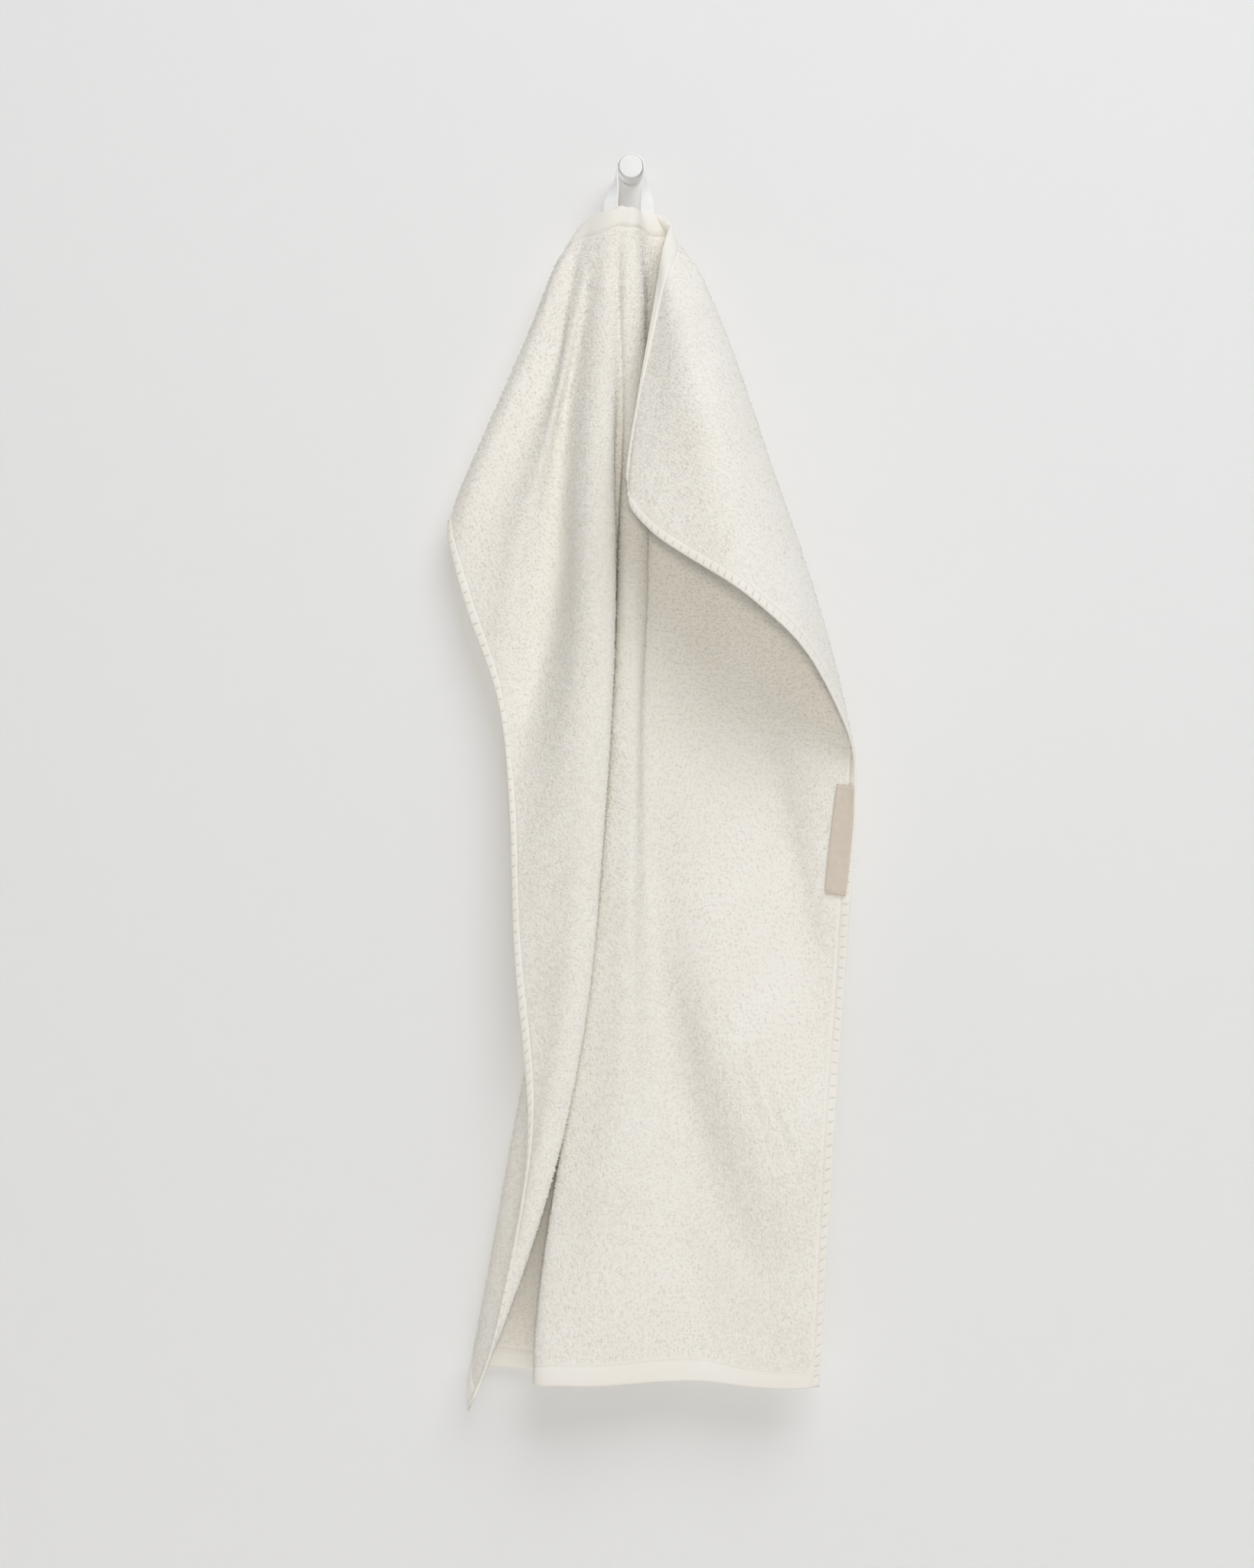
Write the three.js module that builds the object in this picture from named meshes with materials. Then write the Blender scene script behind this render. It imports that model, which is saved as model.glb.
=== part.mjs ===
// A terry hand towel that hangs by its tape loop from a short wall peg.
// Millimetres: +X is to the right, +Y points into the wall, +Z is up.
// The origin is the middle of the peg's wall face.
import * as THREE from "three";

// Flat towel. A place on it is [across, down]: across from its middle line, down from its top hem.
const TOWEL_WIDTH = 500;
const TOWEL_LENGTH = 900;
const PILE_THICKNESS = 2.6;
const HEM_THICKNESS = 2;
const END_HEM = 16;
const SIDE_HEM = 8;
const HEM_STEP = 3;

// The folds fan out from a point above the top hem, so cloth is blended by angle and reach from there.
const FAN_APEX = 65;
const FAN_ANGLE = THREE.MathUtils.degToRad(10);
const FAN_REACH = 1.6;
const FOLD_STEP = 28;
const FOLD_EASE = 0.1;

// The towel's solid is cut into rays from the same point, closer together on the tight folds.
// Each row: the rays' angles in degrees and the number of cells between them.
const RAYS = [
  { from: -75, to: -50, cells: 7 },
  { from: -50, to: -32, cells: 10 },
  { from: -32, to: -17, cells: 8 },
  { from: -17, to: -9, cells: 14 },
  { from: -9, to: 4, cells: 15 },
  { from: 4, to: 20, cells: 8 },
  { from: 20, to: 35, cells: 9 },
  { from: 35, to: 75, cells: 11 },
];
const RAY_CELLS = 30;
const RAY_GATHER = 1.15;

// Hanging loop: a flat tape from hem to hem over the peg.
const TAPE_WIDTH = 12;
const TAPE_THICKNESS = 1.2;
const TAPE_OUT = 26;
const TAPE_LIFT = 1.1;
const TAPE_LEFT = [-13, -26];
const TAPE_RIGHT = [26, 38];
const LEG_STEPS = 16;
const ARCH_STEPS = 14;

// Label: a bare strip sewn on the front beside the right edge.
const LABEL_WIDTH = 17;
const LABEL_LENGTH = 90;
const LABEL_THICKNESS = 0.8;
const LABEL_EASE = 0.4;
const LABEL_ACROSS = 239;
const LABEL_DOWN = 450;
const LABEL_LEAN = 2;
const LABEL_STEPS = 10;

// Peg of the hook.
const PEG_RADIUS = 9;
const PEG_LENGTH = 34;
const PEG_EDGE = 1.5;
const PEG_SIDES = 40;

// Clear space kept between pieces that touch.
const GAP = 0.36;

// One row per fold or edge: where it runs on the flat towel, and points on it as it hangs.
// A hang point is [right of the peg, out from the wall, height above the peg].
const FOLDS = [
  { fold: "hem behind left", from: [-250, 0], to: [-70, 0],
    hang: [[-29, 10, -227], [-36, 9, -134], [-43, 12, -53]] },
  { fold: "hem top left", from: [-56, 0], to: [0, 0],
    hang: [[-40, 21, -47], [-32, 30, -40], [-22, 37, -36], [-12, 41, -34], [-3, 41, -33]] },
  { fold: "hem top right", from: [14, 0], to: [56, 0],
    hang: [[4, 38, -34], [9, 27, -35], [20, 24, -35], [30, 29, -43]] },
  { fold: "hem right", from: [68, 0], to: [250, 0],
    hang: [[26, 42, -56], [11, 65, -146], [-5, 84, -241]] },
  { fold: "flap edge", from: [250, 44], to: [250, 395],
    hang: [[-1, 92, -265], [18, 103, -287], [49, 112, -308], [77, 116, -326], [105, 111, -348],
      [132, 94, -375], [157, 64, -421], [170, 42, -461]] },
  { fold: "right edge", from: [250, 437], to: [250, 900],
    hang: [[173, 37, -499], [167, 31, -570], [161, 32, -641], [155, 40, -713], [151, 45, -784],
      [146, 40, -855], [144, 46, -926]] },
  { fold: "bottom right", from: [200, 900], to: [20, 900],
    hang: [[101, 46, -923], [18, 44, -922], [-64, 56, -923]] },
  { fold: "bottom pleat", from: [0, 900], to: [-80, 900],
    hang: [[-76, 46, -923], [-50, 26, -919], [-28, 16, -918]] },
  { fold: "bottom back", from: [-100, 900], to: [-190, 900],
    hang: [[-43, 9, -919], [-80, 8, -918], [-120, 13, -914]] },
  { fold: "bottom tail", from: [-220, 900], to: [-250, 900],
    hang: [[-124, 26, -925], [-128, 43, -944]] },
  { fold: "left edge", from: [-250, 160], to: [-250, 826],
    hang: [[-140, 20, -269], [-126, 28, -335], [-101, 30, -402], [-93, 33, -471], [-91, 36, -540],
      [-88, 38, -609], [-81, 39, -678], [-77, 40, -745], [-88, 41, -815], [-106, 43, -880]] },
  { fold: "left edge behind", from: [-250, 30], to: [-250, 130],
    hang: [[-48, 9, -243], [-85, 9, -262], [-124, 12, -270]] },
  { fold: "outer left", from: [-84, 22], to: [-232, 145],
    hang: [[-55, 18, -69], [-81, 18, -133], [-132, 19, -249]] },
  { fold: "left roll", from: [-74, 38], to: [-222, 160],
    hang: [[-53, 31, -80], [-74, 33, -138], [-126, 31, -260]] },
  { fold: "left hollow", from: [-62, 48], to: [-215, 172],
    hang: [[-44, 29, -89], [-59, 28, -143], [-115, 28, -264]] },
  { fold: "left ridge", from: [-54, 62], to: [-212, 260],
    hang: [[-38, 37, -104], [-68, 37, -235], [-94, 33, -339]] },
  { fold: "left valley", from: [-46, 76], to: [-214, 325],
    hang: [[-33, 35, -116], [-44, 30, -165], [-52, 26, -234], [-58, 21, -327], [-80, 23, -414]] },
  { fold: "left lip", from: [-42, 90], to: [-214, 390],
    hang: [[-26, 44, -132], [-34, 46, -201], [-40, 47, -282], [-47, 45, -368], [-67, 40, -466]] },
  { fold: "front fold", from: [-26, 60], to: [-240, 860],
    hang: [[-19, 45, -93], [-13, 49, -227], [-13, 48, -363], [-20, 47, -501], [-32, 45, -639],
      [-58, 42, -775], [-104, 37, -911]] },
  { fold: "front crest", from: [-152, 480], to: [-236, 790],
    hang: [[-31, 51, -500], [-46, 50, -645], [-86, 44, -836]] },
  { fold: "groove", from: [-10, 60], to: [-12, 190],
    hang: [[-10, 41, -90], [-6, 42, -158], [-5, 37, -222]] },
  { fold: "behind front fold", from: [-52, 220], to: [-222, 880],
    hang: [[-17, 41, -252], [-25, 39, -472], [-50, 37, -687], [-121, 28, -923]] },
  { fold: "back left fold", from: [-48, 320], to: [-192, 885],
    hang: [[-28, 29, -345], [-49, 25, -532], [-88, 17, -719], [-120, 14, -906]] },
  { fold: "back panel", from: [-32, 320], to: [-135, 890],
    hang: [[-17, 17, -345], [-31, 11, -534], [-51, 8, -723], [-73, 8, -913]] },
  { fold: "pleat fold", from: [-15, 320], to: [-78, 885],
    hang: [[0, 16, -345], [-4, 13, -534], [-12, 12, -723], [-27, 16, -914]] },
  { fold: "pleat return", from: [-5, 320], to: [-38, 885],
    hang: [[-8, 26, -345], [-15, 23, -534], [-26, 21, -723], [-50, 27, -914]] },
  { fold: "ridge flank", from: [6, 230], to: [2, 880],
    hang: [[-7, 40, -263], [-16, 37, -421], [-30, 35, -581], [-54, 35, -742], [-77, 45, -904]] },
  { fold: "ridge side", from: [18, 440], to: [34, 860],
    hang: [[-9, 41, -470], [-19, 42, -610], [-36, 43, -750], [-56, 50, -880]] },
  { fold: "ridge", from: [3, 60], to: [66, 885],
    hang: [[-3, 45, -91], [2, 44, -276], [-1, 45, -487], [-10, 50, -697], [-28, 55, -908]] },
  { fold: "roll right", from: [17, 60], to: [44, 330],
    hang: [[9, 39, -91], [12, 37, -220], [12, 35, -345]] },
  { fold: "valley", from: [30, 60], to: [140, 885],
    hang: [[14, 28, -86], [14, 29, -273], [14, 31, -478], [24, 35, -681], [61, 42, -906]] },
  { fold: "right panel", from: [42, 80], to: [100, 380],
    hang: [[29, 23, -126], [39, 22, -279], [44, 26, -431]] },
  { fold: "right crown", from: [112, 440], to: [215, 680],
    hang: [[49, 32, -490], [59, 43, -594], [80, 49, -680], [122, 50, -732]] },
  { fold: "right hollow", from: [90, 220], to: [216, 600],
    hang: [[52, 17, -249], [78, 19, -384], [108, 25, -501], [130, 30, -629]] },
  { fold: "right foot", from: [150, 700], to: [210, 860],
    hang: [[61, 37, -762], [89, 37, -831], [110, 42, -894]] },
  { fold: "label band", from: [230, 400], to: [226, 520],
    hang: [[151, 38, -468], [147, 34, -520], [143, 31, -575]] },
  { fold: "outer right", from: [60, 38], to: [238, 362],
    hang: [[51, 26, -76], [79, 29, -146], [108, 31, -234], [138, 33, -321], [167, 38, -423]] },
  { fold: "flap crown", from: [86, 48], to: [214, 204],
    hang: [[47, 62, -111], [66, 92, -190], [90, 108, -296]] },
];

function mix(a, b, share) {
  return a + (b - a) * share;
}

function fanPlace(across, down) {
  const angle = Math.atan2(across, down + FAN_APEX);
  const reach = Math.hypot(across, down + FAN_APEX);
  return [angle / FAN_ANGLE, FAN_REACH * Math.log(reach / FAN_APEX)];
}

// Bending energy of a thin plate between two places in the fan.
function plateKernel(a, b) {
  const squared = (a[0] - b[0]) ** 2 + (a[1] - b[1]) ** 2;
  return squared > 0 ? squared * Math.log(squared) : 0;
}

// A smooth curve through a row's hang points, read at even shares of its length on the cloth.
function foldGuides(row) {
  const curve = new THREE.CatmullRomCurve3(
    row.hang.map(([right, out, height]) => new THREE.Vector3(right, -out, height)),
    false,
    "catmullrom",
    0.5,
  );
  const run = Math.hypot(row.to[0] - row.from[0], row.to[1] - row.from[1]);
  const steps = Math.max(row.hang.length - 1, Math.ceil(run / FOLD_STEP));
  const guides = [];
  for (let i = 0; i <= steps; i++) {
    const share = i / steps;
    const place = fanPlace(mix(row.from[0], row.to[0], share), mix(row.from[1], row.to[1], share));
    guides.push({ place, point: curve.getPoint(share).toArray() });
  }
  return guides;
}

// Gaussian elimination with row exchange, for several right-hand sides at once.
function solve(matrix, sides) {
  const size = matrix.length;
  for (let col = 0; col < size; col++) {
    let pivot = col;
    for (let row = col + 1; row < size; row++) {
      if (Math.abs(matrix[row][col]) > Math.abs(matrix[pivot][col])) pivot = row;
    }
    [matrix[col], matrix[pivot]] = [matrix[pivot], matrix[col]];
    [sides[col], sides[pivot]] = [sides[pivot], sides[col]];
    for (let row = col + 1; row < size; row++) {
      const factor = matrix[row][col] / matrix[col][col];
      if (factor === 0) continue;
      for (let k = col; k < size; k++) matrix[row][k] -= factor * matrix[col][k];
      for (let k = 0; k < 3; k++) sides[row][k] -= factor * sides[col][k];
    }
  }
  const answer = [];
  for (let row = size - 1; row >= 0; row--) {
    answer[row] = sides[row].map((value, axis) => {
      let rest = value;
      for (let k = row + 1; k < size; k++) rest -= matrix[row][k] * answer[k][axis];
      return rest / matrix[row][row];
    });
  }
  return answer;
}

// The hanging cloth: a thin plate bent through all the folds.
function drapeThrough(rows) {
  const guides = rows.flatMap(foldGuides);
  const count = guides.length;
  const matrix = guides.map((a, i) => [
    ...guides.map((b, k) => plateKernel(a.place, b.place) + (i === k ? FOLD_EASE : 0)),
    1,
    ...a.place,
  ]);
  matrix.push([...guides.map(() => 1), 0, 0, 0]);
  matrix.push([...guides.map((guide) => guide.place[0]), 0, 0, 0]);
  matrix.push([...guides.map((guide) => guide.place[1]), 0, 0, 0]);
  const sides = guides.map((guide) => [...guide.point]);
  sides.push([0, 0, 0], [0, 0, 0], [0, 0, 0]);
  const weights = solve(matrix, sides);
  return (across, down) => {
    const place = fanPlace(across, down);
    const terms = guides.map((guide) => plateKernel(place, guide.place));
    terms.push(1, place[0], place[1]);
    const point = [0, 0, 0];
    for (let i = 0; i < count + 3; i++) {
      for (let axis = 0; axis < 3; axis++) point[axis] += terms[i] * weights[i][axis];
    }
    return new THREE.Vector3(...point);
  };
}

const drape = drapeThrough(FOLDS);

// Unit direction out of the towel's front face.
function faceNormal(across, down) {
  const reach = 0.5;
  const along = drape(across + reach, down).sub(drape(across - reach, down));
  const fall = drape(across, down + reach).sub(drape(across, Math.max(0, down - reach)));
  return fall.cross(along).normalize();
}

function geometryFrom(points, faces) {
  const geometry = new THREE.BufferGeometry();
  const places = points.flatMap((point) => point.toArray());
  geometry.setAttribute("position", new THREE.Float32BufferAttribute(places, 3));
  geometry.setIndex(faces.flat());
  geometry.computeVertexNormals();
  return geometry;
}

// A closed slab over a grid of cloth places, between two offsets from the middle of the cloth.
// Places that coincide become one corner.
function clothSlab(grid, lower, upper) {
  const known = new Map();
  const front = [];
  const back = [];
  const corners = grid.map((row) => row.map(([across, down]) => {
    const key = `${across.toFixed(2)} ${down.toFixed(2)}`;
    if (!known.has(key)) {
      const middle = drape(across, down);
      const normal = faceNormal(across, down);
      known.set(key, front.length);
      front.push(middle.clone().addScaledVector(normal, upper(across, down)));
      back.push(middle.clone().addScaledVector(normal, lower(across, down)));
    }
    return known.get(key);
  }));
  const behind = front.length;
  const faces = [];
  const triangle = (a, b, c) => {
    if (a !== b && b !== c && c !== a) faces.push([a, b, c]);
  };
  const quad = (a, b, c, d) => {
    triangle(a, b, c);
    triangle(a, c, d);
  };
  const rows = corners.length - 1;
  const columns = corners[0].length - 1;
  for (let r = 0; r < rows; r++) {
    for (let c = 0; c < columns; c++) {
      const loop = [corners[r][c], corners[r + 1][c], corners[r + 1][c + 1], corners[r][c + 1]];
      quad(...loop);
      quad(...loop.map((corner) => corner + behind).reverse());
    }
  }
  const rim = [
    ...corners[0].slice(0, columns),
    ...corners.slice(0, rows).map((row) => row[columns]),
    ...corners[rows].slice(1).reverse(),
    ...corners.slice(1).map((row) => row[0]).reverse(),
  ];
  rim.forEach((a, i) => {
    const b = rim[(i + 1) % rim.length];
    if (a !== b) quad(a, b, b + behind, a + behind);
  });
  return geometryFrom([...front, ...back], faces);
}

// Angles of the rays, with one on each corner of the towel.
function rayAngles() {
  const half = TOWEL_WIDTH / 2;
  const foot = Math.atan2(half, TOWEL_LENGTH + FAN_APEX);
  const top = Math.atan2(half, FAN_APEX);
  const angles = [];
  for (const { from, to, cells } of RAYS) {
    for (let i = 0; i < cells; i++) angles.push(THREE.MathUtils.degToRad(mix(from, to, i / cells)));
  }
  angles[0] = -top;
  angles.push(top);
  for (const corner of [-foot, foot]) {
    const apart = angles.map((angle) => Math.abs(angle - corner));
    angles[apart.indexOf(Math.min(...apart))] = corner;
  }
  return angles;
}

// Where a ray leaves a towel that is smaller by a side and an end margin.
function rayEnd(angle, side, end) {
  const toSide = (TOWEL_WIDTH / 2 - side) / Math.max(1e-9, Math.abs(Math.sin(angle)));
  return Math.min(toSide, (TOWEL_LENGTH + FAN_APEX - end) / Math.cos(angle));
}

// Places along one ray, with a line on each hem's inner edge.
function rayPlaces(angle) {
  const start = FAN_APEX / Math.cos(angle);
  const finish = rayEnd(angle, 0, 0);
  const hemIn = END_HEM / Math.cos(angle);
  const hemOut = finish - rayEnd(angle, SIDE_HEM, END_HEM);
  const fit = Math.min(1, 0.3 * (finish - start) / (hemIn + hemOut + 2 * HEM_STEP));
  const first = start + (hemIn + HEM_STEP) * fit;
  const last = finish - (hemOut + HEM_STEP) * fit;
  const reaches = [start, start + hemIn * fit];
  for (let i = 0; i <= RAY_CELLS; i++) reaches.push(mix(first, last, (i / RAY_CELLS) ** RAY_GATHER));
  reaches.push(finish - hemOut * fit, finish);
  return reaches.map((reach) => [reach * Math.sin(angle), reach * Math.cos(angle) - FAN_APEX]);
}

// The towel's grid of places: a row for each step along the rays, a column for each ray.
function towelPlaces() {
  const rays = rayAngles().map(rayPlaces);
  return rays[0].map((_, step) => rays.map((ray) => ray[step]));
}

// Half the cloth's thickness: full pile inside, flatter on the hems.
function halfThickness(across, down) {
  const fromSide = TOWEL_WIDTH / 2 - Math.abs(across) - SIDE_HEM;
  const fromEnd = Math.min(down, TOWEL_LENGTH - down) - END_HEM;
  const rise = THREE.MathUtils.clamp(Math.min(fromSide, fromEnd) / HEM_STEP, 0, 1);
  return mix(HEM_THICKNESS, PILE_THICKNESS, rise) / 2;
}

// A closed flat tape through stations, each with its middle, half width and half thickness.
function tapeGeometry(stations) {
  const points = [];
  const faces = [];
  for (const { middle, wide, thick } of stations) {
    for (const [w, t] of [[1, 1], [-1, 1], [-1, -1], [1, -1]]) {
      points.push(middle.clone().addScaledVector(wide, w).addScaledVector(thick, t));
    }
  }
  for (let i = 0; i + 1 < stations.length; i++) {
    for (let side = 0; side < 4; side++) {
      const a = 4 * i + side;
      const b = 4 * i + (side + 1) % 4;
      faces.push([a, b, b + 4], [a, b + 4, a + 4]);
    }
  }
  const last = 4 * (stations.length - 1);
  faces.push([0, 2, 1], [0, 3, 2]);
  faces.push([last, last + 1, last + 2], [last, last + 2, last + 3]);
  return geometryFrom(points, faces);
}

// A leg's station, from the hem at share 0 to the side of the peg at share 1.
function legStation(span, side, share) {
  const inner = PEG_RADIUS + GAP + TAPE_THICKNESS / 2;
  const ends = span.map((across) => drape(across, 0));
  const lift = new THREE.Vector3(0, 0, TAPE_LIFT);
  const foot = ends[0].clone().add(ends[1]).multiplyScalar(0.5).add(lift);
  const hip = new THREE.Vector3(side * inner, -TAPE_OUT, 0);
  const flat = ends[1].clone().sub(ends[0]).normalize();
  const turned = new THREE.Vector3(0, 1, 0);
  const ease = THREE.MathUtils.smoothstep(share, 0, 1);
  const middle = foot.clone().lerp(hip, share);
  const wide = flat.clone().lerp(turned, ease).normalize();
  const along = hip.clone().sub(foot).normalize();
  const thick = wide.clone().cross(along).normalize();
  return {
    middle,
    wide: wide.multiplyScalar(TAPE_WIDTH / 2),
    thick: thick.multiplyScalar(side * TAPE_THICKNESS / 2),
  };
}

function loopStations() {
  const inner = PEG_RADIUS + GAP + TAPE_THICKNESS / 2;
  const stations = [];
  for (let i = 0; i < LEG_STEPS; i++) stations.push(legStation(TAPE_LEFT, -1, i / LEG_STEPS));
  for (let i = 0; i <= ARCH_STEPS; i++) {
    const angle = Math.PI * (1 - i / ARCH_STEPS);
    const away = new THREE.Vector3(Math.cos(angle), 0, Math.sin(angle));
    stations.push({
      middle: away.clone().multiplyScalar(inner).setY(-TAPE_OUT),
      wide: new THREE.Vector3(0, TAPE_WIDTH / 2, 0),
      thick: away.clone().multiplyScalar(TAPE_THICKNESS / 2),
    });
  }
  for (let i = LEG_STEPS - 1; i >= 0; i--) stations.push(legStation(TAPE_RIGHT, 1, i / LEG_STEPS));
  return stations;
}

function labelPlaces() {
  const places = [];
  for (let r = 0; r <= LABEL_STEPS; r++) {
    const share = r / LABEL_STEPS - 0.5;
    const middle = LABEL_ACROSS - 2 * LABEL_LEAN * share;
    const down = LABEL_DOWN + LABEL_LENGTH * share;
    places.push([-0.5, 0, 0.5].map((side) => [middle + LABEL_WIDTH * side, down]));
  }
  return places;
}

function pegGeometry() {
  const profile = [new THREE.Vector2(0, -PEG_LENGTH)];
  for (let i = 0; i <= 4; i++) {
    const angle = Math.PI / 2 * (i / 4);
    const radius = PEG_RADIUS - PEG_EDGE + PEG_EDGE * Math.sin(angle);
    profile.push(new THREE.Vector2(radius, -PEG_LENGTH + PEG_EDGE - PEG_EDGE * Math.cos(angle)));
  }
  profile.push(new THREE.Vector2(PEG_RADIUS, 0), new THREE.Vector2(0, 0));
  return new THREE.LatheGeometry(profile, PEG_SIDES);
}

function piece(name, geometry, color, roughness) {
  const mesh = new THREE.Mesh(geometry, new THREE.MeshStandardMaterial({ color, roughness, metalness: 0 }));
  mesh.name = name;
  return mesh;
}

const labelLift = PILE_THICKNESS / 2 + GAP + LABEL_EASE;
const towel = clothSlab(towelPlaces(), (u, v) => -halfThickness(u, v), halfThickness);
const label = clothSlab(labelPlaces(), () => labelLift, () => labelLift + LABEL_THICKNESS);

const part = new THREE.Group();
part.add(piece("towel", towel, 0xe9e5da, 0.95));
part.add(piece("hanging_loop", tapeGeometry(loopStations()), 0xf0efec, 0.9));
part.add(piece("label", label, 0xcec2b4, 0.85));
part.add(piece("hook", pegGeometry(), 0xe6e6e4, 0.5));

export default part;
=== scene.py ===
"""Terry towel on a hook: the look of every piece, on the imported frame."""

import math

import bpy
import numpy as np
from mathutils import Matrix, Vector


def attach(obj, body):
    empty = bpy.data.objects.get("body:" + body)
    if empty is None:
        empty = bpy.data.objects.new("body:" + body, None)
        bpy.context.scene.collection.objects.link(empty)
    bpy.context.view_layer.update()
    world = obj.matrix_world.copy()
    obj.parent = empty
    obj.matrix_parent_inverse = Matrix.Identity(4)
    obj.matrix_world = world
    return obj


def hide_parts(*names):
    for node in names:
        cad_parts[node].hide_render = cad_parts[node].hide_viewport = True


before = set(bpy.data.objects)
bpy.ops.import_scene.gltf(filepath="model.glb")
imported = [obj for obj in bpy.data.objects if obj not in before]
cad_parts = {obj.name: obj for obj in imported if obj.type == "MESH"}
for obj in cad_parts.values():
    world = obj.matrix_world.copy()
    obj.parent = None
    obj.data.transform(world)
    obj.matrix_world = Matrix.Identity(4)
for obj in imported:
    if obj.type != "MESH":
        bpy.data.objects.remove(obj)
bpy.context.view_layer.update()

# Sizes of the object are in millimetres, the stage is in metres.
MM = 0.001

# Flat towel: a place on it is (across from its middle line, down from its top hem).
TOWEL_WIDTH = 500
TOWEL_LENGTH = 900
TOP_HEM = 13
END_HEM = 16
SIDE_HEM = 8
HEM_STEP = 3

# Woven ground: half its thickness inside the hems and on them, the round of its rim, the pinch of its seams.
GROUND_HALF = 0.55
HEM_HALF = 1.1
TOP_HEM_HALF = 1.6
HEM_ROUND = 1.6
SEAM_DIP = 0.85
SEAM_SPREAD = 1.0

# The cloth is blended by angle and reach from a point above the top hem.
FAN_APEX = 65
FAN_ANGLE = math.radians(10)
FAN_REACH = 1.6
FOLD_STEP = 28
FOLD_EASE = 0.1
DRAPE_BATCH = 8000
TANGENT_REACH = 0.5
TINY = 1e-300

# Rays of the sheet's grid: from and to in degrees, cells between them.
RAYS = [
    (-75, -50, 21),
    (-50, -32, 30),
    (-32, -17, 26),
    (-17, -9, 40),
    (-9, 4, 44),
    (4, 20, 26),
    (20, 35, 26),
    (35, 75, 32),
]
RAY_CELLS = 86
RAY_GATHER = 1.15
RAY_HEMS = 0.3
HEM_SHARES = (0, 0.05, 0.16, 0.4, 0.7, 0.88, 0.96, 1, 1.06)

# Pile: loops stand on both faces inside the hems.
PILE_PITCH = 2.45
PILE_JITTER = 0.85
PILE_INSET = 2.2
PILE_FOOT = 0.3
PILE_LOW = 0.95
PILE_HIGH = 1.8
PILE_WIDTH = 1.85
PILE_WIDTHS = (0.85, 1.15)
PILE_LEAN = 0.9
PILE_SHADES = (0.93, 1.0)
PILE_SEAM = 0.6
PILE_SEAM_REACH = 5
PILE_SEED = 11

# Soft clumps of the pile: their share of its height, and their waves across and down in radians a millimetre.
CLUMP = 0.18
CLUMP_WAVE = (0.62, 0.55)
CLUMP_DRIFT = (0.23, 0.19)
CLUMP_BEND = 2

# Sewing thread: a stitch is a spindle, each row of it (share of its length, height in thread radii).
SPINDLE = ((0.0, 0.1), (0.3, 0.7), (0.7, 0.7), (1.0, 0.1))
STITCH_PITCH = 3.4
STITCH_LENGTH = 2.5
STITCH_RADIUS = 0.22
STITCH_MARGIN = 4
CROSS_PITCH = 9
CROSS_FROM = 1.4
CROSS_TO = 6.6
CROSS_SLANT = 0.8
CROSS_RADIUS = 0.5
CROSS_MARGIN = 6

# Peg: out from the wall come its foot, a slimmer neck and the round that shows.
# The crown of its front face is given as (share of the radius, swell).
PEG_RADIUS = 9
PEG_LENGTH = 34
PEG_EDGE = 1.0
PEG_EDGE_STEPS = 8
PEG_CROWN = ((0, 0.25), (0.45, 0.2))
PEG_SHOULDER = 13
PEG_NECK = 7.2
PEG_FOOT = 2.6
PEG_FOOT_RADIUS = 8.4
PEG_EASE_IN = 0.3
PEG_EASE_ALONG = 0.5
PEG_NECK_STEP = 0.8
PEG_SIDES = 72

# Hanging loop: sewn behind the top hem between two places across it, and laid over the peg.
TAPE_WIDTH = 12
TAPE_THICKNESS = 1.2
TAPE_GAP = 0.36
TAPE_OUT = 26
TAPE_LEFT = (-13, -26)
TAPE_RIGHT = (26, 38)
TAPE_LIFT = 1.1
TAPE_TUCK = 11
TAPE_RISE = 1.5
TAPE_BEHIND = 1.0
TAPE_ROUND = 0.08
TAPE_COLUMNS = 13
TUCK_STATIONS = 6
LEG_STATIONS = 34
LEG_START = 0.16
ARCH_STATIONS = 33
LOOP_RADIUS = PEG_RADIUS + TAPE_GAP + TAPE_THICKNESS / 2
INTO_WALL = np.array([0.0, 1, 0])

# Label: its stitches are placed in shares of its width and length.
LABEL_WIDTH = 17
LABEL_LENGTH = 90
LABEL_THICKNESS = 0.8
LABEL_LIFT = 2.06
LABEL_ACROSS = 239
LABEL_DOWN = 450
LABEL_LEAN = 2
LABEL_ROWS = 61
LABEL_COLUMNS = 13
LABEL_RIM = 0.04
LABEL_RIM_THICKNESS = 0.55
LABEL_SEAM = 0.47
LABEL_STITCHES = 6
LABEL_STITCH_FROM = -0.44
LABEL_STITCH_PITCH = 0.16
LABEL_STITCH_LENGTH = 0.1

# Colours of the cloth and the light, and the width of the wave texture's bands at scale 1.
IVORY = ((0.855, 0.82, 0.75), (0.88, 0.852, 0.793))
COOL_LIGHT = (0.92, 0.95, 1)
WARM_LIGHT = (1, 0.93, 0.82)
SOFT_LIGHT = (1, 0.97, 0.92)
WAVE_BAND = 0.314

# Stage.
WALL_BEHIND = 0.0006
WALL_REACH = 4
WALL_TOP = 3
FLOOR = -1.14
FLOOR_REACH = 5
LIGHT_TARGET = (0, 0, -0.45)
WORLD_STRENGTH = 0.28
CAMERA_PLACE = (-0.0029, -2.0, -0.4687)
CAMERA_LENS = 59.55
CAMERA_SENSOR = 36

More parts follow.
